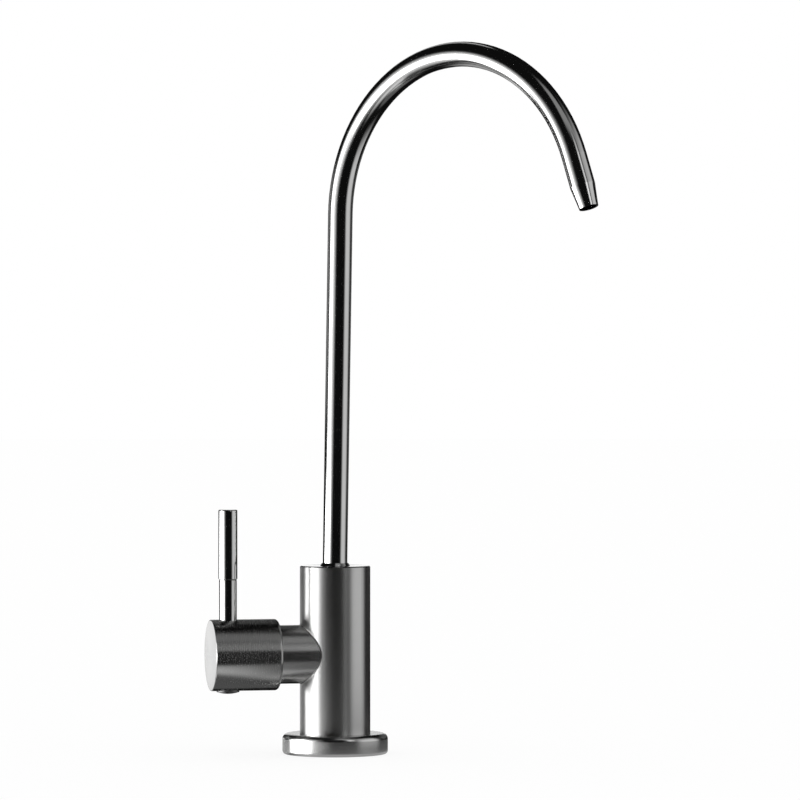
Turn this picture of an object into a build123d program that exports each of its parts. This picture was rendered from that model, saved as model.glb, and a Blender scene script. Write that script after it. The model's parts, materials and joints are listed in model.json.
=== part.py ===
from build123d import *
from math import cos, radians, sin
import os

# A drinking water tap in millimetres: a gooseneck spout swivels in a round body, a side branch
# holds a quarter-turn disc valve under a lever handle, and a threaded shank clamps it to a deck.
# The origin is the middle of the face on the deck, +Z is up, and the spout reaches toward +X.

# Clearances between pieces, measured on one side
thread_clearance = 0.05
slip_clearance = 0.1
running_clearance = 0.05
bearing_clearance = 0.08
free_clearance = 0.3

# Body and foot
body_diameter = 27.1
body_top = 72.4
body_rim_chamfer = 0.4
flange_diameter = 40.6
flange_thickness = 7.9
flange_top_fillet = 2.1
flange_foot_fillet = 1.2
spigot_shoulder = 3.25
gasket_margin = 2.7
gasket_thickness = 2.0
gasket_bore_clearance = 0.65
water_way_diameter = 6.0

# Shank and the pieces under the deck
deck_thickness = 20.0
shank_diameter = 11.1
shank_depth_in_body = 17.5
shank_chamfer = 0.7
shank_seal_thickness = 1.0
spare_thread_length = 3.3
thread_relief_width = 1.5
thread_relief_depth = 0.7
supply_thread_length = 19.5
washer_bore_clearance = 0.25
deck_washer_diameter = 32.0
deck_washer_thickness = 3.0
steel_washer_diameter = 27.0
steel_washer_thickness = 1.5
lock_washer_ring_width = 2.0
lock_washer_thickness = 1.2
lock_tooth_count = 12
lock_tooth_length = 1.9
lock_tooth_width = 2.2
nut_across_flats = 17.0
nut_height = 6.0
nut_corner_drop = 0.8

# Side branch, sized inward from the body
valve_heading = 234.2
valve_height = 38.4
branch_step = 2.3
branch_fillet = 0.6
branch_mouth_chamfer = 0.4
branch_wall = 3.25
bonnet_thread_step = 0.65
sleeve_wall = 1.2
sleeve_bore_clearance = 0.2
carrier_shoulder = 2.0
outlet_way_diameter = 3.6
outlet_way_inset = 1.0

# Discs, seal and washers, stacked outward along the branch from the seat
seat_distance = 7.0
seat_seal_thickness = 2.2
seat_seal_wall = 2.7
sleeve_lip = 0.55
disc_thickness = 2.4
port_rim = 1.1
port_width = 2.4
port_arc_size = 44.0
notch_depth_radius = 1.6
notch_half_angle = 40.0
tang_width = 2.4
tang_margin = 1.7
tang_height = 1.1
carrier_thickness = 2.95
friction_washer_thickness = 0.7

# Bonnet, from its shoulder outward
relief_margin = 0.85
relief_depth = 0.5
window_margin = 0.2
window_width = 7.4
ring_groove_side = 0.1
bonnet_ring_land = 0.65
bonnet_ring_cord_diameter = 1.4
bonnet_thread_undercut = 1.4
bonnet_thread_length = 5.6
bonnet_hex_step = 0.85
bonnet_hex_thickness = 3.5
bonnet_nose_wall = 1.75
bonnet_nose_length = 2.5

# Stem and the stops of its quarter turn
stop_travel = 90.0
stop_spare_angle = 2.5
stop_lug_engagement = 0.6
stop_lug_width = 1.8
stem_ring_inset = 2.85
stem_ring_pitch = 3.0
stem_ring_count = 2
stem_ring_cord_diameter = 1.2
stem_clip_width = 1.2
stem_clip_thickness = 0.8
stem_clip_groove_depth = 0.7
stem_clip_mouth = 5.0
stem_chamfer = 0.5
stem_flat_depth = 0.8
stem_flat_length = 8.5

# Handle hub, placed by how far its skirt covers the branch
hub_overlap = 4.3
hub_length = 26.0
hub_wall = 2.1
hub_skirt_clearance = 0.35
hub_inner_clearance = 0.9
hub_recess_clearance = 0.6
hub_end_wall = 3.1
hub_root_fillet = 1.2
hub_end_fillet = 0.35

# Lever, set screw and plug
lever_inset = 6.8
lever_rod_diameter = 6.8
lever_rod_seat_depth = 3.2
lever_rod_exposed_length = 15.3
lever_thread_diameter = 5.0
lever_thread_floor = 1.35
lever_groove_chamfer = 0.3
lever_pin_diameter = 4.5
lever_pin_length = 12.0
lever_grip_diameter = 7.3
lever_grip_length = 26.8
lever_top_fillet = 0.5
set_screw_diameter = 4.0
set_screw_length = 6.0
set_screw_key_across_flats = 2.0
set_screw_key_depth = 2.2
plug_stem_diameter = 7.0
plug_stem_depth = 3.1
plug_head_overhang = 0.9
plug_head_height = 1.1
plug_rim_height = 0.35

# Spout tube, bent in the plane of X and Z
tube_diameter = 9.5
tube_wall = 0.8
lean_start = 0.5
lean_bend_radius = 150.0
riser_lean = 1.2
arch_centre_height = 207.4
arch_radius = 60.55
arch_angle = 158.6
leg_length = 11.8
tip_length = 8.5
tip_diameter = 7.3
tip_wall = 0.75
tip_lip_fillet = 0.3

# Swivel joint of the spout, stacked upward from the ledge in the socket
socket_clearance = 0.3
socket_depth = 19.2
ledge_width = 1.45
well_depth = 4.5
thrust_washer_thickness = 0.8
insert_wall = 0.75
insert_land = 0.9
insert_spigot_length = 7.2
spout_ring_count = 2
spout_ring_cord_diameter = 1.8
snap_ring_thickness = 1.0
snap_ring_overlap = 0.65
snap_ring_groove_depth = 1.05
snap_ring_mouth = 5.0
bush_depth = 4.0
bush_wall = 0.9
bush_lip_height = 1.0
bush_lip_wall = 0.25

# Radii worked out from the body inward
body_radius = body_diameter / 2
flange_radius = flange_diameter / 2
spigot_radius = body_radius - spigot_shoulder
gasket_radius = flange_radius - gasket_margin
shank_radius = shank_diameter / 2
water_way_radius = water_way_diameter / 2
branch_radius = body_radius - branch_step
bonnet_thread_radius = branch_radius - branch_wall - thread_clearance
chamber_radius = bonnet_thread_radius - bonnet_thread_step
sleeve_radius = chamber_radius - slip_clearance
sleeve_bore_radius = sleeve_radius - sleeve_wall
disc_radius = sleeve_bore_radius - sleeve_bore_clearance
stem_radius = disc_radius - carrier_shoulder
stem_bore_radius = stem_radius + running_clearance
bonnet_hex_radius = bonnet_thread_radius + bonnet_hex_step
bonnet_nose_radius = stem_bore_radius + bonnet_nose_wall
skirt_radius = branch_radius + hub_skirt_clearance
hub_radius = skirt_radius + hub_wall

# Radii of the spout joint, worked out from the tube outward
tube_radius = tube_diameter / 2
tube_bore_radius = tube_radius - tube_wall
socket_radius = tube_radius + socket_clearance
well_radius = socket_radius - ledge_width
insert_radius = socket_radius - slip_clearance
spout_ring_radius = socket_radius - running_clearance
spout_ring_groove_radius = spout_ring_radius - spout_ring_cord_diameter - running_clearance
insert_bore_radius = spout_ring_groove_radius - insert_wall
snap_ring_radius = socket_radius + snap_ring_overlap
snap_groove_radius = insert_radius - snap_ring_groove_depth
bush_bore_radius = tube_radius + bearing_clearance
bush_radius = bush_bore_radius + bush_wall

# Distances out along the branch
fixed_disc_start = seat_distance + seat_seal_thickness
moving_disc_start = fixed_disc_start + disc_thickness + running_clearance
carrier_start = moving_disc_start + disc_thickness
friction_washer_start = carrier_start + carrier_thickness + running_clearance
bonnet_shoulder = friction_washer_start + friction_washer_thickness
bonnet_ring_half = bonnet_ring_cord_diameter / 2 + ring_groove_side
bonnet_ring_distance = bonnet_shoulder + bonnet_ring_land + bonnet_ring_half
bonnet_thread_start = bonnet_ring_distance + bonnet_ring_half + bonnet_thread_undercut
branch_length = bonnet_thread_start + bonnet_thread_length
bonnet_hex_end = branch_length + bonnet_hex_thickness
bonnet_nose_end = bonnet_hex_end + bonnet_nose_length
stem_clip_start = bonnet_nose_end + slip_clearance
hub_start = branch_length - hub_overlap
hub_end = hub_start + hub_length
hub_skirt_end = bonnet_hex_end + hub_inner_clearance
hub_recess_end = stem_clip_start + stem_clip_thickness + hub_inner_clearance
hub_socket_end = hub_end - hub_end_wall
stem_end = hub_socket_end - slip_clearance
lever_distance = hub_end - lever_inset
relief_start = moving_disc_start - relief_margin
relief_end = carrier_start
window_middle = (relief_start + relief_end) / 2
stem_ring_distances = [
    bonnet_shoulder + stem_ring_inset + number * stem_ring_pitch for number in range(stem_ring_count)
]

# Heights in the spout joint
socket_ledge_height = body_top - socket_depth
well_floor_height = socket_ledge_height - well_depth
insert_foot = socket_ledge_height + thrust_washer_thickness + running_clearance
spout_ring_groove_width = spout_ring_cord_diameter + 2 * ring_groove_side
snap_groove_width = snap_ring_thickness + 2 * running_clearance
spout_ring_heights = [
    insert_foot + (insert_land + spout_ring_groove_width) * (number + 1) - spout_ring_groove_width / 2
    for number in range(spout_ring_count)
]
snap_ring_height = (
    spout_ring_heights[-1] + spout_ring_groove_width / 2 + insert_land + snap_groove_width / 2
)
insert_shoulder_height = snap_ring_height + snap_groove_width / 2 + insert_land
insert_top = insert_shoulder_height + insert_spigot_length
tube_foot = insert_shoulder_height + thread_clearance
lean_height = max(body_top + bush_lip_height, insert_top) + lean_start

# Heights under the deck, each at the lower face of a piece
spigot_foot = gasket_thickness + slip_clearance
deck_washer_height = -deck_thickness - deck_washer_thickness
steel_washer_height = deck_washer_height - steel_washer_thickness
lock_washer_height = steel_washer_height - lock_washer_thickness
nut_foot_height = lock_washer_height - nut_height
relief_foot_height = nut_foot_height - spare_thread_length - thread_relief_width
shank_foot_height = relief_foot_height - supply_thread_length

# Directions and planes of the branch: outward, sideways and up
up = Vector(0, 0, 1)
valve_direction = Vector(cos(radians(valve_heading)), sin(radians(valve_heading)), 0)
side_direction = up.cross(valve_direction)
section_normal = valve_direction.cross(up)
valve_origin = Vector(0, 0, valve_height)
valve_axis = Axis(valve_origin, valve_direction)
valve_section = Plane(origin=valve_origin, x_dir=valve_direction, z_dir=section_normal)
valve_plane = Plane(origin=valve_origin, x_dir=side_direction, z_dir=valve_direction)
lever_origin = valve_origin + valve_direction * lever_distance
lever_axis = Axis(lever_origin, up)
lever_section = Plane(origin=lever_origin, x_dir=valve_direction, z_dir=section_normal)
lever_plane = Plane(origin=lever_origin, x_dir=valve_direction, z_dir=up)


def flat_ring(plane, outer_radius, inner_radius, thickness):
    """A flat washer that stands on the plane."""
    with BuildPart() as ring:
        with BuildSketch(plane):
            Circle(outer_radius)
            Circle(inner_radius, mode=Mode.SUBTRACT)
        extrude(amount=thickness)
    return ring


def o_ring(plane, outer_radius, cord_diameter):
    """A round-section sealing ring whose middle lies on the plane."""
    with BuildPart(plane) as ring:
        Torus(outer_radius - cord_diameter / 2, cord_diameter / 2)
    return ring


def open_ring(plane, outer_radius, inner_radius, thickness, mouth):
    """A flat retaining ring that stands on the plane, open on one side."""
    with BuildPart() as ring:
        with BuildSketch(plane):
            Circle(outer_radius)
            Circle(inner_radius, mode=Mode.SUBTRACT)
            with Locations((outer_radius, 0)):
                Rectangle(2 * outer_radius, mouth, mode=Mode.SUBTRACT)
        extrude(amount=thickness)
    return ring


def cut_groove(plane, outer_radius, inner_radius, width):
    """A square groove round a shaft, centred on the plane, cut from the part being built."""
    with BuildSketch(plane.offset(-width / 2)) as groove:
        Circle(outer_radius)
        Circle(inner_radius, mode=Mode.SUBTRACT)
    extrude(groove.sketch, amount=width, mode=Mode.SUBTRACT)


# Body: an upright barrel with a side branch, bored for the shank, the valve and the spout
with BuildPart() as body:
    with BuildSketch(Plane.XY.offset(flange_thickness)):
        Circle(body_radius)
    extrude(amount=body_top - flange_thickness)
    chamfer(body.edges().sort_by(Axis.Z)[-1], body_rim_chamfer)
    with BuildSketch(valve_plane):
        Circle(branch_radius)
    extrude(amount=branch_length)
    chamfer(body.edges().filter_by(GeomType.CIRCLE).sort_by(valve_axis)[-1], branch_mouth_chamfer)
    plain_edges = (GeomType.LINE, GeomType.CIRCLE)
    saddle = body.edges().filter_by(lambda edge: edge.geom_type not in plain_edges)
    fillet(saddle, branch_fillet)
    with BuildSketch(Plane.XY.offset(spigot_foot)):
        Circle(spigot_radius)
    extrude(amount=flange_thickness - spigot_foot)
    # Threaded seat for the shank, then the inlet way up to the valve
    with BuildSketch(Plane.XY.offset(spigot_foot)):
        Circle(shank_radius + thread_clearance)
    extrude(amount=shank_depth_in_body + shank_seal_thickness - spigot_foot, mode=Mode.SUBTRACT)
    with BuildSketch(Plane.XY.offset(shank_depth_in_body)):
        Circle(water_way_radius)
    extrude(amount=valve_height + water_way_radius - shank_depth_in_body, mode=Mode.SUBTRACT)
    # Valve chamber, open at the branch's mouth, and the port through its seat
    with BuildSketch(valve_section):
        with BuildLine():
            Polyline(
                (seat_distance, 0),
                (seat_distance, chamber_radius),
                (bonnet_thread_start - slip_clearance, chamber_radius),
                (bonnet_thread_start - slip_clearance, bonnet_thread_radius + thread_clearance),
                (branch_length, bonnet_thread_radius + thread_clearance),
                (branch_length, 0),
                close=True,
            )
        make_face()
    revolve(axis=valve_axis, mode=Mode.SUBTRACT)
    with BuildSketch(valve_plane):
        Circle(water_way_radius)
    extrude(amount=seat_distance, mode=Mode.SUBTRACT)
    # Spout socket with its snap ring groove and the seat for the bush, and the well below
    with BuildSketch(Plane.XZ):
        with BuildLine():
            groove_radius = snap_ring_radius + free_clearance
            groove_half_height = snap_ring_thickness / 2 + 2 * slip_clearance
            Polyline(
                (0, well_floor_height),
                (well_radius, well_floor_height),
                (well_radius, socket_ledge_height),
                (socket_radius, socket_ledge_height),
                (socket_radius, snap_ring_height - groove_half_height),
                (groove_radius, snap_ring_height - groove_half_height),
                (groove_radius, snap_ring_height + groove_half_height),
                (socket_radius, snap_ring_height + groove_half_height),
                (socket_radius, body_top - bush_depth),
                (bush_radius + thread_clearance, body_top - bush_depth),
                (bush_radius + thread_clearance, body_top),
                (0, body_top),
                close=True,
            )
        make_face()
    revolve(axis=Axis.Z, mode=Mode.SUBTRACT)
    # Slanted outlet way from the top of the valve chamber into the well
    outlet_start = valve_origin + valve_direction * window_middle + up * (chamber_radius - outlet_way_inset)
    outlet_end = up * (socket_ledge_height - well_depth / 2) + valve_direction * (well_radius / 2)
    with BuildSketch(Plane(origin=outlet_start, z_dir=outlet_end - outlet_start)):
        Circle(outlet_way_diameter / 2)
    extrude(amount=(outlet_end - outlet_start).length, mode=Mode.SUBTRACT)

# Foot: a round flange that covers the deck hole, with a gasket in its underside
with BuildPart() as base_flange:
    with BuildSketch():
        Circle(flange_radius)
        Circle(spigot_radius + slip_clearance, mode=Mode.SUBTRACT)
    extrude(amount=flange_thickness)
    with BuildSketch():
        Circle(gasket_radius)
    extrude(amount=gasket_thickness, mode=Mode.SUBTRACT)
    rim = base_flange.edges().filter_by(GeomType.CIRCLE).group_by(SortBy.RADIUS)[-1].sort_by(Axis.Z)
    fillet(rim[-1], flange_top_fillet)
    fillet(rim[0], flange_foot_fillet)
flange_gasket = flat_ring(
    Plane.XY, gasket_radius - slip_clearance, shank_radius + gasket_bore_clearance, gasket_thickness
)

# Shank: one threaded tube, with a relief between its deck thread and its supply thread
with BuildPart() as shank:
    with BuildSketch(Plane.XZ):
        with BuildLine():
            Polyline(
                (water_way_radius, shank_foot_height),
                (shank_radius - shank_chamfer, shank_foot_height),
                (shank_radius, shank_foot_height + shank_chamfer),
                (shank_radius, relief_foot_height),
                (shank_radius - thread_relief_depth, relief_foot_height),
                (shank_radius - thread_relief_depth, relief_foot_height + thread_relief_width),
                (shank_radius, relief_foot_height + thread_relief_width),
                (shank_radius, shank_depth_in_body - shank_chamfer),
                (shank_radius - shank_chamfer, shank_depth_in_body),
                (water_way_radius, shank_depth_in_body),
                close=True,
            )
        make_face()
    revolve(axis=Axis.Z)
shank_seal = flat_ring(
    Plane.XY.offset(shank_depth_in_body),
    shank_radius - slip_clearance,
    water_way_radius + slip_clearance,
    shank_seal_thickness,
)

# Rubber washer, steel washer, toothed lock washer and nut under the deck
washer_bore_radius = shank_radius + washer_bore_clearance
deck_washer = flat_ring(
    Plane.XY.offset(deck_washer_height), deck_washer_diameter / 2, washer_bore_radius, deck_washer_thickness
)
steel_washer = flat_ring(
    Plane.XY.offset(steel_washer_height),
    steel_washer_diameter / 2,
    washer_bore_radius,
    steel_washer_thickness,
)
with BuildPart() as lock_washer:
    with BuildSketch(Plane.XY.offset(lock_washer_height)):
        lock_washer_radius = washer_bore_radius + lock_washer_ring_width
        Circle(lock_washer_radius)
        with PolarLocations(lock_washer_radius, lock_tooth_count):
            Rectangle(2 * lock_tooth_length, lock_tooth_width)
        Circle(washer_bore_radius, mode=Mode.SUBTRACT)
    extrude(amount=lock_washer_thickness)
with BuildPart() as mounting_nut:
    with BuildSketch(Plane.XY.offset(nut_foot_height)):
        RegularPolygon(nut_across_flats / 2, 6, major_radius=False)
    extrude(amount=nut_height)
    with BuildSketch(Plane.XZ):
        with BuildLine():
            flat_radius = nut_across_flats / 2
            corner_radius = flat_radius / cos(radians(30))
            Polyline(
                (0, nut_foot_height),
                (flat_radius, nut_foot_height),
                (corner_radius, nut_foot_height + nut_corner_drop),
                (corner_radius, nut_foot_height + nut_height),
                (0, nut_foot_height + nut_height),
                close=True,
            )
        make_face()
    revolve(axis=Axis.Z, mode=Mode.INTERSECT)
    with BuildSketch(Plane.XY.offset(nut_foot_height)):
        Circle(shank_radius + thread_clearance)
    extrude(amount=nut_height, mode=Mode.SUBTRACT)

# Fixed pieces of the valve: the seal on the seat, the ported disc and the friction washer
seat_seal = flat_ring(
    valve_plane.offset(seat_distance), disc_radius, disc_radius - seat_seal_wall, seat_seal_thickness
)
port_arc_radius = disc_radius - port_rim - port_width / 2
port_arc = CenterArc((0, 0), port_arc_radius, -port_arc_size / 2, port_arc_size)
with BuildPart() as fixed_disc:
    with BuildSketch(valve_plane.offset(fixed_disc_start)):
        Circle(disc_radius)
        with Locations(Rotation(0, 0, 90), Rotation(0, 0, 270)):
            SlotArc(port_arc, port_width, mode=Mode.SUBTRACT)
    extrude(amount=disc_thickness)
friction_washer = flat_ring(
    valve_plane.offset(friction_washer_start),
    sleeve_bore_radius - slip_clearance,
    stem_radius + slip_clearance,
    friction_washer_thickness,
)

# Bonnet: a sleeve round the discs, a threaded neck, a hexagon and the guide for the stem
bonnet_ring_groove_radius = chamber_radius - bonnet_ring_cord_diameter - slip_clearance
with BuildPart() as cartridge_bonnet:
    with BuildSketch(valve_section):
        with BuildLine():
            sleeve_start = seat_distance + sleeve_lip
            Polyline(
                (sleeve_start, sleeve_bore_radius),
                (sleeve_start, sleeve_radius),
                (relief_start, sleeve_radius),
                (relief_start, sleeve_radius - relief_depth),
                (relief_end, sleeve_radius - relief_depth),
                (relief_end, sleeve_radius),
                (bonnet_thread_start, sleeve_radius),
                (bonnet_thread_start, bonnet_thread_radius),
                (branch_length, bonnet_thread_radius),
                (branch_length, bonnet_nose_radius),
                (bonnet_nose_end, bonnet_nose_radius),
                (bonnet_nose_end, stem_bore_radius),
                (bonnet_shoulder, stem_bore_radius),
                (bonnet_shoulder, sleeve_bore_radius),
                close=True,
            )
        make_face()
    revolve(axis=valve_axis)
    cut_groove(
        valve_plane.offset(bonnet_ring_distance),
        sleeve_radius,
        bonnet_ring_groove_radius,
        2 * bonnet_ring_half,
    )
    with BuildSketch(valve_plane.offset(branch_length)):
        RegularPolygon(bonnet_hex_radius, 6, major_radius=False)
        Circle(stem_bore_radius, mode=Mode.SUBTRACT)
    extrude(amount=bonnet_hex_thickness)
    # Two windows, above and below, let the water out round the discs
    with BuildSketch(Plane(origin=valve_origin, x_dir=valve_direction, z_dir=up)):
        with Locations((window_middle, 0)):
            Rectangle(relief_end - relief_start - 2 * window_margin, window_width)
    extrude(amount=chamber_radius, both=True, mode=Mode.SUBTRACT)
    # Slot in which the stem's lug travels between its two stops
    slot_half_angle = radians(stop_travel / 2 + stop_spare_angle) + stop_lug_width / 2 / sleeve_bore_radius
    with BuildSketch(valve_plane.offset(carrier_start)):
        with BuildLine():
            far = 2 * chamber_radius
            Polyline(
                (0, 0),
                (far * cos(slot_half_angle), -far * sin(slot_half_angle)),
                (far, 0),
                (far * cos(slot_half_angle), far * sin(slot_half_angle)),
                close=True,
            )
        make_face()
    extrude(amount=carrier_thickness + running_clearance, mode=Mode.SUBTRACT)
bonnet_o_ring = o_ring(
    valve_plane.offset(bonnet_ring_distance), chamber_radius - thread_clearance, bonnet_ring_cord_diameter
)

# Stem: carrier with its tang and stop lug, grooved shaft and flatted end
tang_length = 2 * (disc_radius - tang_margin)
stop_lug_reach = sleeve_bore_radius + stop_lug_engagement
stem_clip_groove_radius = stem_radius - stem_clip_groove_depth
with BuildPart() as cartridge_stem:
    with BuildSketch(valve_plane.offset(carrier_start)):
        Circle(disc_radius - slip_clearance)
        with PolarLocations(stop_lug_reach / 2, 1, start_angle=stop_travel / 2):
            Rectangle(stop_lug_reach, stop_lug_width)
    extrude(amount=carrier_thickness)
    with BuildSketch(valve_plane.offset(carrier_start)):
        Rectangle(tang_width, tang_length)
    extrude(amount=-tang_height)
    with BuildSketch(valve_plane.offset(carrier_start)):
        Circle(stem_radius)
    extrude(amount=stem_end - carrier_start)
    chamfer(cartridge_stem.edges().sort_by(valve_axis)[-1], stem_chamfer)
    for ring_distance in stem_ring_distances:
        cut_groove(
            valve_plane.offset(ring_distance),
            stem_radius,
            stem_radius - stem_ring_cord_diameter - running_clearance,
            stem_ring_cord_diameter + 2 * ring_groove_side,
        )
    cut_groove(
        valve_plane.offset(stem_clip_start + stem_clip_thickness / 2),
        stem_radius,
        stem_clip_groove_radius,
        stem_clip_thickness + 2 * running_clearance,
    )
    with BuildSketch(valve_plane.offset(stem_end - stem_flat_length)):
        with Locations((0, -stem_radius)):
            Rectangle(2 * stem_radius, 2 * stem_flat_depth)
    extrude(amount=stem_flat_length, mode=Mode.SUBTRACT)
stem_o_rings = [
    o_ring(valve_plane.offset(ring_distance), stem_radius, stem_ring_cord_diameter)
    for ring_distance in stem_ring_distances
]
stem_clip = open_ring(
    valve_plane.offset(stem_clip_start),
    stem_radius + stem_clip_width,
    stem_clip_groove_radius + thread_clearance,
    stem_clip_thickness,
    stem_clip_mouth,
)

# Moving disc: two notches uncover the fixed disc's ports after a quarter turn
with BuildPart() as moving_disc:
    with BuildSketch(valve_plane.offset(moving_disc_start)):
        Circle(disc_radius - slip_clearance)
        notch_half = radians(notch_half_angle)
        far = 2 * disc_radius
        with Locations(Rotation(0, 0, 0), Rotation(0, 0, 180)):
            Polygon(
                (notch_depth_radius, 0),
                (far * cos(notch_half), -far * sin(notch_half)),
                (far * cos(notch_half), far * sin(notch_half)),
                align=None,
                mode=Mode.SUBTRACT,
            )
    extrude(amount=disc_thickness)
    with BuildSketch(valve_plane.offset(carrier_start)):
        Rectangle(tang_width + 2 * thread_clearance, tang_length + 2 * thread_clearance)
    extrude(amount=-tang_height - thread_clearance, mode=Mode.SUBTRACT)

# Handle hub: a round knob over the branch's mouth, bored for the stem, the lever and the set screw
lever_thread_foot = stem_radius + thread_clearance + lever_thread_floor
with BuildPart() as handle_hub:
    with BuildSketch(valve_plane.offset(hub_start)):
        Circle(hub_radius)
    extrude(amount=hub_length)
    rims = handle_hub.edges().filter_by(GeomType.CIRCLE).sort_by(valve_axis)
    fillet(rims[0], hub_root_fillet)
    fillet(rims[-1], hub_end_fillet)
    with BuildSketch(valve_section):
        with BuildLine():
            Polyline(
                (hub_start, 0),
                (hub_start, skirt_radius),
                (hub_skirt_end, skirt_radius),
                (hub_skirt_end, bonnet_nose_radius + hub_recess_clearance),
                (hub_recess_end, bonnet_nose_radius + hub_recess_clearance),
                (hub_recess_end, stem_radius + thread_clearance),
                (hub_socket_end, stem_radius + thread_clearance),
                (hub_socket_end, 0),
                close=True,
            )
        make_face()
    revolve(axis=valve_axis, mode=Mode.SUBTRACT)
    with BuildSketch(lever_plane.offset(lever_thread_foot - slip_clearance)):
        Circle(lever_thread_diameter / 2 + thread_clearance)
    extrude(amount=hub_radius - lever_thread_foot, mode=Mode.SUBTRACT)
    with BuildSketch(lever_plane.offset(hub_radius - lever_rod_seat_depth)):
        Circle(lever_rod_diameter / 2 + thread_clearance)
    extrude(amount=2 * lever_rod_seat_depth, mode=Mode.SUBTRACT)
    with BuildSketch(lever_plane):
        Circle(set_screw_diameter / 2 + thread_clearance)
    extrude(amount=-hub_radius, mode=Mode.SUBTRACT)
    with BuildSketch(lever_plane.offset(-hub_radius - plug_stem_depth)):
        Circle(plug_stem_diameter / 2 + thread_clearance)
    extrude(amount=2 * plug_stem_depth + slip_clearance, mode=Mode.SUBTRACT)

# Lever: a rod screwed into the hub, with a slightly thicker grip on its upper pin
groove_height = hub_radius + lever_rod_exposed_length
with BuildPart() as lever_rod:
    with BuildSketch(lever_section):
        with BuildLine():
            rod_radius = lever_rod_diameter / 2
            rod_foot = hub_radius - lever_rod_seat_depth + thread_clearance
            Polyline(
                (0, lever_thread_foot),
                (lever_thread_diameter / 2, lever_thread_foot),
                (lever_thread_diameter / 2, rod_foot),
                (rod_radius, rod_foot),
                (rod_radius, groove_height - lever_groove_chamfer),
                (rod_radius - lever_groove_chamfer, groove_height),
                (lever_pin_diameter / 2, groove_height),
                (lever_pin_diameter / 2, groove_height + lever_pin_length),
                (0, groove_height + lever_pin_length),
                close=True,
            )
        make_face()
    revolve(axis=lever_axis)
with BuildPart() as lever_grip:
    with BuildSketch(lever_plane.offset(groove_height)):
        Circle(lever_grip_diameter / 2)
    extrude(amount=lever_grip_length)
    grip_ends = lever_grip.edges().filter_by(GeomType.CIRCLE).sort_by(Axis.Z)
    chamfer(grip_ends[0], lever_groove_chamfer)
    fillet(grip_ends[-1], lever_top_fillet)
    with BuildSketch(lever_plane.offset(groove_height)):
        Circle(lever_pin_diameter / 2 + thread_clearance)
    extrude(amount=lever_pin_length + slip_clearance, mode=Mode.SUBTRACT)

# Set screw from below onto the stem's flat, hidden by a domed plug
screw_tip = -(stem_radius - stem_flat_depth) - thread_clearance
with BuildPart() as set_screw:
    with BuildSketch(lever_plane.offset(screw_tip - set_screw_length)):
        Circle(set_screw_diameter / 2)
    extrude(amount=set_screw_length)
    with BuildSketch(lever_plane.offset(screw_tip - set_screw_length)):
        RegularPolygon(set_screw_key_across_flats / 2, 6, major_radius=False)
    extrude(amount=set_screw_key_depth, mode=Mode.SUBTRACT)
with BuildPart() as set_screw_plug:
    with BuildSketch(lever_section):
        with BuildLine():
            head_radius = plug_stem_diameter / 2 + plug_head_overhang
            head_back = -hub_radius + plug_head_height
            dome = TangentArc(
                (0, -hub_radius - plug_head_height),
                (head_radius, -hub_radius - plug_rim_height),
                tangent=(1, 0),
            )
            Polyline(dome @ 1, (head_radius, head_back), (0, head_back), dome @ 0)
        make_face()
    revolve(axis=lever_axis)
    with BuildSketch(valve_plane.offset(hub_start)):
        Circle(hub_radius + thread_clearance)
    extrude(amount=hub_length, mode=Mode.SUBTRACT)
    with BuildSketch(lever_plane.offset(-hub_radius + plug_stem_depth)):
        Circle(plug_stem_diameter / 2)
    extrude(amount=-plug_stem_depth - plug_rim_height)

# Spout tube: upright foot, leaning riser, arch and leg, then the narrowed tip
with BuildPart() as spout_tube:
    with BuildLine(Plane.XZ) as spout_path:
        foot = Line((0, tube_foot), (0, lean_height))
        lean = JernArc(foot @ 1, foot % 1, lean_bend_radius, -riser_lean)
        riser_rise = arch_centre_height - (lean @ 1).Z
        riser = Line(lean @ 1, lean @ 1 + (lean % 1) * (riser_rise / (lean % 1).Z))
        arch = JernArc(riser @ 1, riser % 1, arch_radius, -arch_angle)
        leg = Line(arch @ 1, arch @ 1 + (arch % 1) * leg_length)
    with BuildSketch(Plane(origin=foot @ 0, z_dir=foot % 0)):
        Circle(tube_radius)
        Circle(tube_bore_radius, mode=Mode.SUBTRACT)
    sweep(path=spout_path.line)
    tip_axis = Axis(leg @ 1, leg % 1)
    with BuildSketch(Plane(origin=leg @ 1, x_dir=leg % 1, z_dir=(0, -1, 0))):
        with BuildLine():
            Polyline(
                (0, tube_bore_radius),
                (0, tube_radius),
                (tip_length, tip_diameter / 2),
                (tip_length, tip_diameter / 2 - tip_wall),
                close=True,
            )
        make_face()
    revolve(axis=tip_axis)
    lip = spout_tube.edges().filter_by(GeomType.CIRCLE).group_by(tip_axis)[-1]
    fillet(lip.sort_by(SortBy.RADIUS)[-1], tip_lip_fillet)

# Spout insert: brazed into the tube's foot, grooved for its sealing rings and snap ring
with BuildPart() as spout_insert:
    with BuildSketch(Plane.XY.offset(insert_foot)):
        Circle(insert_radius)
    extrude(amount=insert_shoulder_height - insert_foot)
    with BuildSketch(Plane.XY.offset(insert_shoulder_height)):
        Circle(tube_bore_radius - thread_clearance)
    extrude(amount=insert_spigot_length)
    for ring_height in spout_ring_heights:
        cut_groove(
            Plane.XY.offset(ring_height), insert_radius, spout_ring_groove_radius, spout_ring_groove_width
        )
    cut_groove(Plane.XY.offset(snap_ring_height), insert_radius, snap_groove_radius, snap_groove_width)
    with BuildSketch(Plane.XY.offset(insert_foot)):
        Circle(insert_bore_radius)
    extrude(amount=insert_top - insert_foot, mode=Mode.SUBTRACT)
spout_o_rings = [
    o_ring(Plane.XY.offset(ring_height), spout_ring_radius, spout_ring_cord_diameter)
    for ring_height in spout_ring_heights
]
spout_snap_ring = open_ring(
    Plane.XY.offset(snap_ring_height - snap_ring_thickness / 2),
    snap_ring_radius,
    snap_groove_radius + thread_clearance,
    snap_ring_thickness,
    snap_ring_mouth,
)
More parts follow.
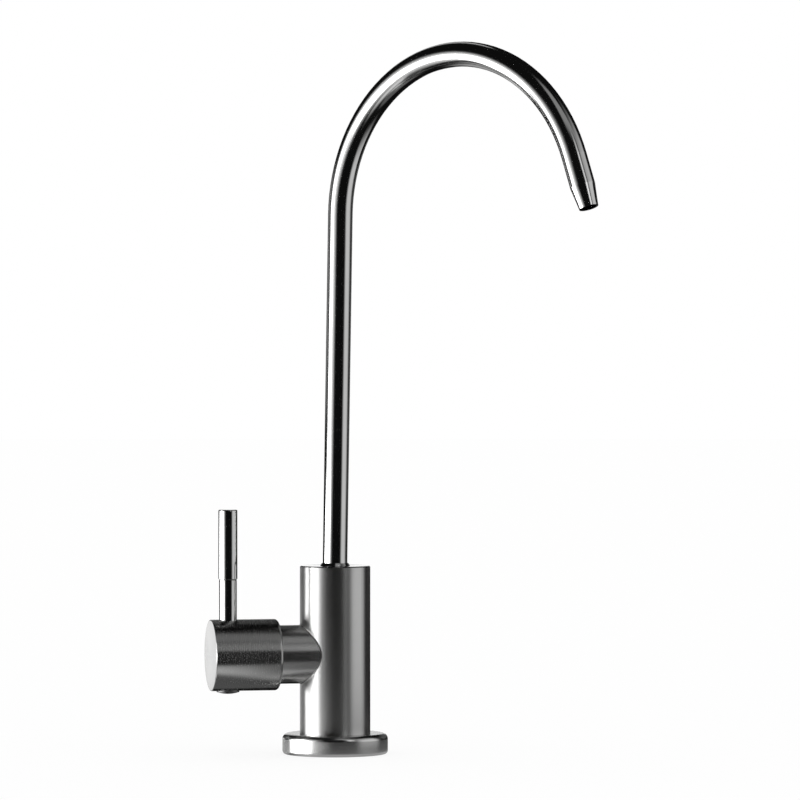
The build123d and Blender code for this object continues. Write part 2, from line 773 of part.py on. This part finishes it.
spout_thrust_washer = flat_ring(
    Plane.XY.offset(socket_ledge_height),
    socket_radius - slip_clearance,
    well_radius + slip_clearance,
    thrust_washer_thickness,
)

# Guide bush in the mouth of the socket, with a sloping lip round the tube
with BuildPart() as spout_bush:
    with BuildSketch(Plane.XZ):
        with BuildLine():
            Polyline(
                (bush_bore_radius, body_top - bush_depth),
                (bush_radius, body_top - bush_depth),
                (bush_radius, body_top),
                (bush_bore_radius + bush_lip_wall, body_top + bush_lip_height),
                (bush_bore_radius, body_top + bush_lip_height),
                close=True,
            )
        make_face()
    revolve(axis=Axis.Z)

pieces = {
    "body": body,
    "base_flange": base_flange,
    "flange_gasket": flange_gasket,
    "shank": shank,
    "shank_seal": shank_seal,
    "deck_washer": deck_washer,
    "steel_washer": steel_washer,
    "lock_washer": lock_washer,
    "mounting_nut": mounting_nut,
    "cartridge_bonnet": cartridge_bonnet,
    "bonnet_o_ring": bonnet_o_ring,
    "seat_seal": seat_seal,
    "fixed_disc": fixed_disc,
    "friction_washer": friction_washer,
    "spout_thrust_washer": spout_thrust_washer,
    "spout_bush": spout_bush,
    "spout_tube": spout_tube,
    "spout_insert": spout_insert,
    "spout_o_ring_lower": spout_o_rings[0],
    "spout_o_ring_upper": spout_o_rings[-1],
    "spout_snap_ring": spout_snap_ring,
    "handle_hub": handle_hub,
    "lever_rod": lever_rod,
    "lever_grip": lever_grip,
    "set_screw": set_screw,
    "set_screw_plug": set_screw_plug,
    "cartridge_stem": cartridge_stem,
    "moving_disc": moving_disc,
    "stem_o_ring_inner": stem_o_rings[0],
    "stem_o_ring_outer": stem_o_rings[-1],
    "stem_clip": stem_clip,
}
os.makedirs("parts", exist_ok=True)
for name, piece in pieces.items():
    piece.part.label = name
    export_step(piece.part, f"parts/{name}.step")
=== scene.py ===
"""Looks for a deck-mounted drinking water tap: metal finishes, a threaded shank, floor, light and camera."""

import bmesh
import bpy
import json
from math import cos, radians, sin, tau
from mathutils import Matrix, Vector


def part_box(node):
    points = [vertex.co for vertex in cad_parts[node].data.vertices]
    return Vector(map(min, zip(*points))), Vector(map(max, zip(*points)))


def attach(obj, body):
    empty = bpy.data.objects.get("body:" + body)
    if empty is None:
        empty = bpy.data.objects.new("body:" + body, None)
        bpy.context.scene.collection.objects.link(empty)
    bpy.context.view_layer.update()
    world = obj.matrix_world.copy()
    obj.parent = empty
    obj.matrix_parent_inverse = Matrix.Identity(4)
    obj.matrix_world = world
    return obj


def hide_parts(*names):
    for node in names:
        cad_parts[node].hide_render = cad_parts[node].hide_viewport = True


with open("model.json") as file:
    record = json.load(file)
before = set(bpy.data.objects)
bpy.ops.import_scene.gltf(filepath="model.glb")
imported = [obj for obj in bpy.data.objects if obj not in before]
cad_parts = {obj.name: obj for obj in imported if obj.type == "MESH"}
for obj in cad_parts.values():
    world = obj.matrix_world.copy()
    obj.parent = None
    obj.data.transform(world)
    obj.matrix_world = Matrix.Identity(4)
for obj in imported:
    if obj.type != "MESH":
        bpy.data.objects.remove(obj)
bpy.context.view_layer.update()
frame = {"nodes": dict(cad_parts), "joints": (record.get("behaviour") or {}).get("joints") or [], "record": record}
nodes = frame["nodes"]
scene = bpy.context.scene
scene.view_settings.view_transform = "Standard"

# Camera: its place beside the foot, in metres, and its focal length in widths of the picture
VIEW_AZIMUTH = radians(42.0)
CAMERA_DISTANCE = 2.0
CAMERA_SIDE = 0.02497
CAMERA_HEIGHT = 0.1616
CAMERA_PITCH = radians(0.731)
CAMERA_REACH = 50
FOCAL_WIDTHS = 6.5
SENSOR_WIDTH = 36.0

# Directions in the row frame: away from the camera, to its right, and out along the valve
AWAY = Vector((-sin(VIEW_AZIMUTH), cos(VIEW_AZIMUTH), 0))
RIGHT = Vector((cos(VIEW_AZIMUTH), sin(VIEW_AZIMUTH), 0))
UP = Vector((0, 0, 1))
lever_joint = next(joint for joint in frame["joints"] if joint["name"] == "lever_turn")
VALVE_AXIS = -Vector(lever_joint["axis"]).normalized()
VALVE_CENTRE = Vector(lever_joint["pos_m"])

# The axes that pieces are turned round on a lathe: a point and a direction
UPRIGHT = (Vector(), UP)
SIDEWAYS = (VALVE_CENTRE, VALVE_AXIS)

# Studio cards round the object, which only the metal's reflections see: the far ones round the foot, the
# near ones round a point above it. Each reaches from one azimuth to another, counted from the camera's
# direction to its right, and from one elevation to another. It has a tone, and fades out over some degrees
# at its left, right, lower and upper edges.
CARD_STEP = 3.0
CARD_GAP = 0.02
FAR_RADIUS = 3.0
FAR_HEIGHT = 0.0
FAR_CARDS = {
    "tent": dict(azimuths=(-180, 180), elevations=(-90, 90), tone=0.006, fades=(0, 0, 0, 0)),
    "strip_front": dict(azimuths=(26, 48), elevations=(12, 58), tone=1.35, fades=(8, 8, 8, 34)),
    "strip_high": dict(azimuths=(0, 70), elevations=(40, 86), tone=0.3, fades=(10, 10, 14, 16)),
    "reflector_right": dict(azimuths=(44, 117), elevations=(-62, 62), tone=0.75, fades=(22, 16, 42, 42)),
    "backdrop_high": dict(azimuths=(-177, -162), elevations=(10, 64), tone=0.55, fades=(4, 6, 4, 4)),
    "backdrop_low": dict(azimuths=(-190, -168), elevations=(-14, 14), tone=1.02, fades=(4, 4, 6, 6)),
}
NEAR_RADIUS = 0.7
NEAR_HEIGHT = 0.2
NEAR_CARDS = {
    "backdrop_end": dict(azimuths=(-161, -143), elevations=(-24, -13), tone=1.02, fades=(3, 3, 3, 2)),
    "backdrop_left": dict(azimuths=(-150, -110), elevations=(-8, 12), tone=0.26, fades=(10, 14, 4, 6)),
    "floor_left": dict(azimuths=(-172, -110), elevations=(-50, -18), tone=0.45, fades=(6, 14, 15, 4)),
    "floor_front": dict(azimuths=(-70, 0), elevations=(-74, -40), tone=0.85, fades=(10, 45, 18, 12)),
    "backdrop_right": dict(azimuths=(125, 170), elevations=(-18, 14), tone=0.1, fades=(6, 6, 8, 6)),
    "softbox_left": dict(azimuths=(-109, -25), elevations=(-70, 33), tone=1.5, fades=(18, 46, 62, 34)),
    "softbox_core": dict(azimuths=(-93, -60), elevations=(-28, 10), tone=8, fades=(8, 22, 16, 10)),
    "softbox_low": dict(azimuths=(-117, -45), elevations=(-30, -10), tone=7, fades=(12, 18, 10, 5)),
}
CARD_SETS = (
    (FAR_CARDS, FAR_RADIUS, FAR_HEIGHT),
    (NEAR_CARDS, NEAR_RADIUS, NEAR_HEIGHT),
)

# Floor with a round hole under the foot, and the world. The floor's middle ring is measured in holes.
WHITE = (1, 1, 1, 1)
FLOOR_WHITE = (0.95, 0.95, 0.95, 1)
FLOOR_GLOW = 0.85
FLOOR_RADIUS = 6.0
FLOOR_HOLE_MARGIN = 0.0012
FLOOR_MIDDLE_HOLES = 4
FLOOR_SEGMENTS = 128

# The patch of floor that the metal sees near the foot, a glowing painted reflection of the floor:
# painted shade to the right, painted light close in, and open toward the softbox. Each step is a pair of
# distances in metres.
SHEEN_RADIUS = 0.1
SHEEN_OUTER_STEP = (0.075, SHEEN_RADIUS)
SHEEN_RIM_STEP = (0.022, 0.036)
SHEEN_RIM = 0.3
SHEEN_SIDE_STEP = (-0.038, -0.002)
SHEEN_TONES = (0.95, 0.13)
SHEEN_OPEN_STEP = (-0.012, 0.004)
SHEEN_OPEN_SHARE = 0.75

# The floor that the handle sees under itself, a dim disc lower down, which only steep reflections meet: a
# painted shadow of the handle on the floor
UNDER_SIDE = -0.04
UNDER_FRONT = 0.012
UNDER_HEIGHT = -0.03
UNDER_RADIUS = 0.055
UNDER_TONE = 0.15

# Colours
STEEL = (0.6, 0.6, 0.595)
DARK_STEEL = (0.44, 0.44, 0.435)
POLISHED_STEEL = (0.64, 0.64, 0.635)
THREAD_STEEL = (0.55, 0.55, 0.545)
SMALL_STEEL = (0.45, 0.45, 0.445)
PLUG_STEEL = (0.2, 0.2, 0.2)
BRASS = (0.78, 0.57, 0.27)
CERAMIC = (0.86, 0.86, 0.84)
BLACK_RUBBER = (0.03, 0.03, 0.03)
WHITE_PLASTIC = (0.8, 0.8, 0.78)

# Metal: its streaks are much finer across the rings than round them, and their height is in metres. The lean
# is how much the direction across the rings follows the axis rather than the way outward.
POLISHED_ROUGHNESS = 0.12
BRANCH_ROUGHNESS = 0.25
STREAK_FINENESS_ROUND = 0.04
STREAK_DETAIL = 4.0
STREAK_ROUGHNESS = 0.65
STREAK_HEIGHT = 0.00002
TANGENT_LEAN = 2
METAL_CLOUD_SCALE = 90.0
METAL_CLOUD_DETAIL = 3.0
METAL_TONE_DRIFT = 0.05
METAL_POLISH_DRIFT = 0.15

# Rubber, plastic and ceramic
DULL_CLOUD_SCALE = 150.0
DULL_CLOUD_DETAIL = 4.0
DULL_TONE_DRIFT = 0.15
DULL_POLISH_DRIFT = 0.1
SPECK_DETAIL = 2.0
SPECK_HEIGHT = 0.00005

# The values between which a noise mostly lies
NOISE_RANGE = (0.2, 0.8)

# Where the finishes change, in metres: the hub's outer end along the valve's axis, and small margins
HUB_REACH = 0.0487
EDGE_MARGIN = 0.0002
END_MARGIN = 0.0003

# Screw thread of the shank, in metres
INCH = 0.0254
THREAD_PITCH = INCH / 24
THREAD_DEPTH = 0.00058
THREAD_CREST_SHARE = 0.14
THREAD_TOP = 0.0025
THREAD_STEPS_PER_TURN = 8
THREAD_SEGMENTS = 64
RELIEF_FOOT = -0.0365
RELIEF_TOP = -0.035
RELIEF_DEPTH = 0.0007
SHANK_CHAMFER = 0.0007
WATER_WAY_RADIUS = 0.003


class Nodes:
    """A short way to write a shader: add a node with its settings, and join sockets."""

    def __init__(self, tree):
        self.tree = tree
        self.tree.nodes.clear()

    def add(self, kind, settings=None, **inputs):
        node = self.tree.nodes.new(kind)
        for name, value in (settings or {}).items():
            setattr(node, name, value)
        for name, value in inputs.items():
            self.put(node.inputs[name.replace("_", " ")], value)
        return node

    def put(self, socket, value):
        if isinstance(value, bpy.types.NodeSocket):
            self.tree.links.new(value, socket)
        else:
            socket.default_value = value

    def math(self, operation, first, second=0.0):
        node = self.add("ShaderNodeMath", {"operation": operation})
        self.put(node.inputs[0], first)
        self.put(node.inputs[1], second)
        return node.outputs[0]

    def vector(self, operation, first, second=(0, 0, 0)):
        node = self.add("ShaderNodeVectorMath", {"operation": operation})
        self.put(node.inputs[0], first)
        self.put(node.inputs[1], second)
        single = operation in ("LENGTH", "DOT_PRODUCT")
        return node.outputs["Value" if single else "Vector"]

    def between(self, value, start, end, low, high):
        """A value taken from low to high, smoothly, as it goes from start to end."""
        node = self.add("ShaderNodeMapRange", {"interpolation_type": "SMOOTHSTEP"}, Value=value)
        limits = {"From Min": start, "From Max": end, "To Min": low, "To Max": high}
        for name, limit in limits.items():
            node.inputs[name].default_value = limit
        return node.outputs[0]

    def mix(self, kind, share, first, second):
        node = self.add("ShaderNodeMix", {"data_type": kind})
        sockets = [socket for socket in node.inputs if socket.enabled]
        for socket, value in zip(sockets, (share, first, second)):
            self.put(socket, value)
        return next(socket for socket in node.outputs if socket.enabled)

    def place(self):
        return self.add("ShaderNodeTexCoord").outputs["Object"]

    def noise(self, place, **settings):
        return self.add("ShaderNodeTexNoise", Vector=place, **settings).outputs["Fac"]

    def bump(self, heights, strength, distance):
        node = self.add("ShaderNodeBump", Height=heights, Strength=strength, Distance=distance)
        return node.outputs["Normal"]

    def light(self, strength):
        return self.add("ShaderNodeEmission", Color=WHITE, Strength=strength).outputs[0]

    def clear(self):
        return self.add("ShaderNodeBsdfTransparent").outputs[0]

    def blend(self, share, first, second):
        """Goes from one shader to another."""
        node = self.add("ShaderNodeMixShader", Fac=share)
        self.put(node.inputs[1], first)
        self.put(node.inputs[2], second)
        return node.outputs[0]

    def finish(self, shader):
        output = self.add("ShaderNodeOutputMaterial")
        self.put(output.inputs["Surface"], shader)


def new_material(name):
    material = bpy.data.materials.new(name)
    material.use_nodes = True
    return material, Nodes(material.node_tree)


def dress_node(name, material):
    mesh = nodes[name].data
    mesh.materials.clear()
    mesh.materials.append(material)


def dress(slot, material):
    """Gives a material to every CAD node of one slot of the record."""
    for part in frame["record"]["subparts"]:
        if part["material_slot"] == slot:
            dress_node(part["node"], material)


def shades(color, drift):
    """A darker and a lighter colour, which differ from a colour by a share of it."""
    darker = [c * (1 - drift) for c in color]
    lighter = [min(c * (1 + drift), 1) for c in color]
    return [*darker, 1], [*lighter, 1]


def uneven(make, noise, roughness, drift):
    """A roughness that follows a noise and differs from the given one by up to a share of it."""
    return make.between(noise, *NOISE_RANGE, roughness * (1 - drift), roughness * (1 + drift))


def turned(make, place, centre, axis, grain):
    """What a lathe leaves on metal turned round an axis.

    These are the streaks of fine rings, the direction across the rings along the surface, and the distance
    along the axis.
    """
    offset = make.vector("SUBTRACT", place, centre)
    level = make.add("ShaderNodeMapping", {"vector_type": "POINT"}, Vector=offset)
    level.inputs["Rotation"].default_value = UP.rotation_difference(axis).inverted().to_euler()
    flat = make.vector("MULTIPLY", level.outputs[0], (1, 1, 0))
    radius = make.vector("LENGTH", flat)
    parts = make.add("ShaderNodeSeparateXYZ", Vector=level.outputs[0])
    rings = make.add(
        "ShaderNodeCombineXYZ",
        X=make.math("MULTIPLY", radius, grain),
        Y=make.math("MULTIPLY", parts.outputs["X"], grain * STREAK_FINENESS_ROUND),
        Z=make.math("MULTIPLY", parts.outputs["Z"], grain),
    )
    streaks = make.noise(rings.outputs[0], Scale=1.0, Detail=STREAK_DETAIL, Roughness=STREAK_ROUGHNESS)
    across = make.vector("ADD", make.vector("NORMALIZE", offset), axis * TANGENT_LEAN)
    tangent = make.add(
        "ShaderNodeVectorTransform",
        {"vector_type": "VECTOR", "convert_from": "OBJECT", "convert_to": "WORLD"},
        Vector=across,
    )
    return streaks, tangent.outputs[0], parts.outputs["Z"]


def metal(name, color, roughness, grain, blur=0.0, relief=0.1, turnings=(UPRIGHT,), edge=0.0, end=None):
    """Metal worked in fine rings, with a slow drift of tone and an uneven polish.

    The blur draws reflections out across the rings. With two turnings the first holds up to the edge, a
    distance from the upright axis. Beyond it is the branch, with the second turning and its own roughness.
    Past the end, a distance along the first turning's axis, the metal is polished.
    """
    material, make = new_material(name)
    place = make.place()
    branched = len(turnings) > 1
    streaks, tangent, distance = turned(make, place, *turnings[0], grain)
    if branched:
        outer_streaks, outer_tangent, _ = turned(make, place, *turnings[1], grain)
        reach = make.vector("LENGTH", make.vector("MULTIPLY", place, (1, 1, 0)))
        outside = make.math("GREATER_THAN", reach, edge)
        streaks = make.mix("FLOAT", outside, streaks, outer_streaks)
        tangent = make.mix("VECTOR", outside, tangent, outer_tangent)
    cloud = make.noise(place, Scale=METAL_CLOUD_SCALE, Detail=METAL_CLOUD_DETAIL)
    shade = make.mix("RGBA", cloud, *shades(color, METAL_TONE_DRIFT))
    rough = uneven(make, streaks, roughness, METAL_POLISH_DRIFT)
    if branched:
        rough = make.mix("FLOAT", outside, rough, BRANCH_ROUGHNESS)
    if end:
        past = make.math("GREATER_THAN", distance, end)
        rough = make.mix("FLOAT", past, rough, POLISHED_ROUGHNESS)
        shade = make.mix("RGBA", past, shade, (*POLISHED_STEEL, 1))
    surface = make.add(
        "ShaderNodeBsdfPrincipled",
        Base_Color=shade,
        Metallic=1.0,
        Roughness=rough,
        Anisotropic=blur,
        Normal=make.bump(streaks, relief, STREAK_HEIGHT),
        Tangent=tangent,
    )
    make.finish(surface.outputs[0])
    return material


def dull(name, color, roughness, speck_scale, speck_bump):
    """Rubber, plastic or ceramic: a little uneven in tone, with a fine moulded grain."""
    material, make = new_material(name)
    place = make.place()
    cloud = make.noise(place, Scale=DULL_CLOUD_SCALE, Detail=DULL_CLOUD_DETAIL)
    speck = make.noise(place, Scale=speck_scale, Detail=SPECK_DETAIL)
    surface = make.add(
        "ShaderNodeBsdfPrincipled",
        Base_Color=make.mix("RGBA", cloud, *shades(color, DULL_TONE_DRIFT)),
        Roughness=uneven(make, cloud, roughness, DULL_POLISH_DRIFT),
        Normal=make.bump(speck, speck_bump, SPECK_HEIGHT),
    )
    make.finish(surface.outputs[0])
    return material


def add_object(name, shape, material):
    mesh = bpy.data.meshes.new(name)
    shape.to_mesh(mesh)
    shape.free()
    mesh.materials.append(material)
    piece = bpy.data.objects.new(name, mesh)
    scene.collection.objects.link(piece)
    return piece


def only_in_reflections(card):
    """A part of the studio that only the object's reflections see."""
    card.visible_camera = False
    card.visible_diffuse = False
    card.visible_transmission = False
    card.visible_shadow = False


def compass(azimuth):
    """The level direction at an angle to the right of the camera's direction, seen from the object."""
    return RIGHT * sin(azimuth) - AWAY * cos(azimuth)


def ring(shape, radius, height, segments):
    turns = [tau * i / segments for i in range(segments)]
    return [shape.verts.new((radius * cos(t), radius * sin(t), height)) for t in turns]


def bridge(shape, first, second, smooth=False):
    """Faces between two rings of as many points."""
    for i, corner in enumerate(first):
        j = (i + 1) % len(first)
        face = shape.faces.new((corner, first[j], second[j], second[i]))
        face.smooth = smooth


def glow(name, tone, shares):
    """A card's light, which fades out over shares of its size at its left, right, lower and upper edges."""
    material, make = new_material(name)
    light = make.light(tone)
    spread = make.add("ShaderNodeSeparateXYZ", Vector=make.add("ShaderNodeTexCoord").outputs["UV"])
    from_left = spread.outputs["X"]
    from_right = make.math("SUBTRACT", 1.0, from_left)
    from_foot = spread.outputs["Y"]
    from_top = make.math("SUBTRACT", 1.0, from_foot)
    for distance, share in zip((from_left, from_right, from_foot, from_top), shares):
        if share:
            light = make.blend(make.between(distance, 0.0, share, 0.0, 1.0), make.clear(), light)
    make.finish(light)
    material.cycles.emission_sampling = "NONE"
    return material


def studio_card(name, radius, centre_height, azimuths, elevations, tone, fades):
    """A card bent to a sphere round a point above the foot."""
    width = azimuths[1] - azimuths[0]
    height = elevations[1] - elevations[0]
    across = round(width / CARD_STEP)
    upward = round(height / CARD_STEP)
    shape = bmesh.new()
    uv = shape.loops.layers.uv.new("spread")
    spread = {}
    rows = []
    for i in range(upward + 1):
        tilt = radians(elevations[0] + height * i / upward)
        row = []
        for j in range(across + 1):
            turn = radians(azimuths[0] + width * j / across)
            outward = compass(turn) * cos(tilt) + UP * sin(tilt)
            corner = shape.verts.new(outward * radius + UP * centre_height)
            spread[corner] = (j / across, i / upward)
            row.append(corner)
        rows.append(row)
    for low, high in zip(rows, rows[1:]):
        for j in range(across):
            face = shape.faces.new((low[j], low[j + 1], high[j + 1], high[j]))
            for loop in face.loops:
                loop[uv].uv = spread[loop.vert]
    shares = [fades[0] / width, fades[1] / width, fades[2] / height, fades[3] / height]
    only_in_reflections(add_object(name, shape, glow(name, tone, shares)))


def floor_hole():
    """The radius of the hole in the floor, a little less than the foot's."""
    foot_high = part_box("base_flange")[1]
    return foot_high.x - FLOOR_HOLE_MARGIN


def studio_floor():
    """A white plate with a hole under the foot, as a deck has, clear when seen from below."""
    shape = bmesh.new()
    radii = (floor_hole(), FLOOR_MIDDLE_HOLES * floor_hole(), FLOOR_RADIUS)
    rings = [ring(shape, radius, 0, FLOOR_SEGMENTS) for radius in radii]
    for inner, outer in zip(rings, rings[1:]):
        bridge(shape, outer, inner)
    bmesh.ops.recalc_face_normals(shape, faces=shape.faces)
    material, make = new_material("floor_white")
    matte = make.add("ShaderNodeBsdfDiffuse", Color=FLOOR_WHITE).outputs[0]
    plate = make.blend(FLOOR_GLOW, matte, make.light(1.0))
    below = make.add("ShaderNodeNewGeometry").outputs["Backfacing"]
    make.finish(make.blend(below, plate, make.clear()))
    material.cycles.emission_sampling = "NONE"
    floor = add_object("floor", shape, material)
    # The metal sees the cards and the sheen in place of the wide floor
    floor.visible_glossy = False


def painted_floor_sheen():
    """Painted light and shade of the floor close round the foot, as the metal sees it."""
    shape = bmesh.new()
    bridge(
        shape,
        ring(shape, SHEEN_RADIUS, 0, FLOOR_SEGMENTS),
        ring(shape, floor_hole(), 0, FLOOR_SEGMENTS),
    )
    material, make = new_material("painted_floor_sheen")
    place = make.place()
    reach = make.vector("LENGTH", place)
    side = make.vector("DOT_PRODUCT", place, RIGHT)
    ahead = make.vector("DOT_PRODUCT", place, -AWAY)
    # Painted light close to the foot and toward the softbox at the left, painted shade to the right
    rim = make.between(reach, *SHEEN_RIM_STEP, SHEEN_RIM, 0.0)
    tone = make.math("ADD", make.between(side, *SHEEN_SIDE_STEP, *SHEEN_TONES), rim)
    slant = make.math("MULTIPLY", make.math("MAXIMUM", ahead, 0.0), SHEEN_OPEN_SHARE)
    opening = make.between(make.math("ADD", side, slant), *SHEEN_OPEN_STEP, 1.0, 0.0)
    outside = make.between(reach, *SHEEN_OUTER_STEP, 0.0, 1.0)
    make.finish(make.blend(make.math("MAXIMUM", opening, outside), make.light(tone), make.clear()))
    material.cycles.emission_sampling = "NONE"
    only_in_reflections(add_object("painted_floor_sheen", shape, material))


def painted_shadow_under_handle():
    """A painted shadow: the dim floor that the handle's underside sees."""
    shape = bmesh.new()
    shape.faces.new(ring(shape, UNDER_RADIUS, 0, FLOOR_SEGMENTS))
    # Painted shadow of the handle on the floor, a dim glow that only reflections see
    disc = add_object("painted_shadow_under_handle", shape, glow("painted_shadow_under_handle", UNDER_TONE, ()))
    disc.location = RIGHT * UNDER_SIDE - AWAY * UNDER_FRONT + UP * UNDER_HEIGHT
    only_in_reflections(disc)


def studio_world():
    world = bpy.data.worlds.new("studio_white")
    world.use_nodes = True
    make = Nodes(world.node_tree)
    white = make.add("ShaderNodeBackground", Color=WHITE, Strength=1.0)
    output = make.add("ShaderNodeOutputWorld")
    make.put(output.inputs["Surface"], white.outputs[0])
    scene.world = world


def studio_camera():
    data = bpy.data.cameras.new("camera")
    data.sensor_width = SENSOR_WIDTH
    data.lens = SENSOR_WIDTH * FOCAL_WIDTHS
    data.clip_end = CAMERA_REACH
    camera = bpy.data.objects.new("camera", data)
    scene.collection.objects.link(camera)
    camera.location = RIGHT * CAMERA_SIDE - AWAY * CAMERA_DISTANCE + UP * CAMERA_HEIGHT
    looking = AWAY * cos(CAMERA_PITCH) - UP * sin(CAMERA_PITCH)
    camera.rotation_mode = "QUATERNION"
    camera.rotation_quaternion = looking.to_track_quat("-Z", "Y")
    scene.camera = camera


def thread_radius(major, foot, height, angle):
    """How far the shank's surface lies from its axis.

    This is the thread, the relief between two lengths of thread, or the chamfered foot.
    """
    if RELIEF_FOOT < height < RELIEF_TOP:
        return major - RELIEF_DEPTH
    turn = (height / THREAD_PITCH - angle / tau) % 1
    slope = (abs(2 * turn - 1) - THREAD_CREST_SHARE) / (1 - 2 * THREAD_CREST_SHARE)
    thread = major - THREAD_DEPTH * min(max(slope, 0), 1)
    return min(thread, major - SHANK_CHAMFER + height - foot)


def threaded_shank(material):
    """The shank with its screw thread cut as a helix into the solid's round surface."""
    low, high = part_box("shank")
    shape = bmesh.new()
    steps = round((THREAD_TOP - low.z) / THREAD_PITCH * THREAD_STEPS_PER_TURN)
    rows = []
    for i in range(steps + 1):
        height = low.z + (THREAD_TOP - low.z) * i / steps
        row = []
        for j in range(THREAD_SEGMENTS):
            angle = tau * j / THREAD_SEGMENTS
            radius = thread_radius(high.x, low.z, height, angle)
            row.append(shape.verts.new((radius * cos(angle), radius * sin(angle), height)))
        rows.append(row)
    rows.append(ring(shape, high.x, THREAD_TOP + SHANK_CHAMFER, THREAD_SEGMENTS))
    rows.append(ring(shape, high.x, high.z - SHANK_CHAMFER, THREAD_SEGMENTS))
    rows.append(ring(shape, high.x - SHANK_CHAMFER, high.z, THREAD_SEGMENTS))
    for first, second in zip(rows, rows[1:]):
        bridge(shape, first, second, smooth=True)
    bore_foot = ring(shape, WATER_WAY_RADIUS, low.z, THREAD_SEGMENTS)
    bore_top = ring(shape, WATER_WAY_RADIUS, high.z, THREAD_SEGMENTS)
    bridge(shape, bore_foot, rows[0])
    bridge(shape, rows[-1], bore_top)
    bridge(shape, bore_top, bore_foot)
    bmesh.ops.recalc_face_normals(shape, faces=shape.faces)
    piece = add_object("threaded_shank", shape, material)
    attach(piece, "base")
    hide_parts("shank")


studio_camera()
studio_floor()
painted_floor_sheen()
painted_shadow_under_handle()
studio_world()
for cards, radius, centre_height in CARD_SETS:
    for order, (name, settings) in enumerate(cards.items()):
        studio_card(name, radius - CARD_GAP * order, centre_height, **settings)

# Finishes: the body is turned round two axes and the hub round its own, and their ends are polished
BODY_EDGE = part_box("body")[1].x + EDGE_MARGIN
BODY_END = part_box("body")[1].z - END_MARGIN
HUB_END = HUB_REACH - END_MARGIN
polished_metal = metal("polished_metal", POLISHED_STEEL, POLISHED_ROUGHNESS, grain=7000, relief=0.03)
foot_metal = metal("foot_metal", POLISHED_STEEL, roughness=0.22, grain=7000, relief=0.03)
body_metal = metal(
    "body_metal",
    STEEL,
    roughness=0.36,
    grain=9000,
    blur=0.85,
    relief=0.06,
    turnings=(UPRIGHT, SIDEWAYS),
    edge=BODY_EDGE,
    end=BODY_END,
)
hub_metal = metal(
    "hub_metal",
    DARK_STEEL,
    roughness=0.25,
    grain=9000,
    blur=0.9,
    relief=0.01,
    turnings=(SIDEWAYS,),
    end=HUB_END,
)
thread_steel = metal("thread_steel", THREAD_STEEL, roughness=0.28, grain=6000, blur=0.4)
dress("polished_metal", polished_metal)
dress_node("base_flange", foot_metal)
dress_node("body", body_metal)
dress_node("handle_hub", hub_metal)
dress("plug", metal("plug_metal", PLUG_STEEL, roughness=0.45, grain=4000))
dress("thread_steel", thread_steel)
dress("small_steel", metal("small_steel", SMALL_STEEL, roughness=0.3, grain=4000))
dress("brass", metal("brass", BRASS, roughness=0.25, grain=6000, blur=0.4))
dress("ceramic", dull("ceramic", CERAMIC, roughness=0.2, speck_scale=3000, speck_bump=0.02))
dress("black_rubber", dull("black_rubber", BLACK_RUBBER, roughness=0.6, speck_scale=4000, speck_bump=0.2))
dress("white_plastic", dull("white_plastic", WHITE_PLASTIC, roughness=0.45, speck_scale=3000, speck_bump=0.1))
threaded_shank(thread_steel)
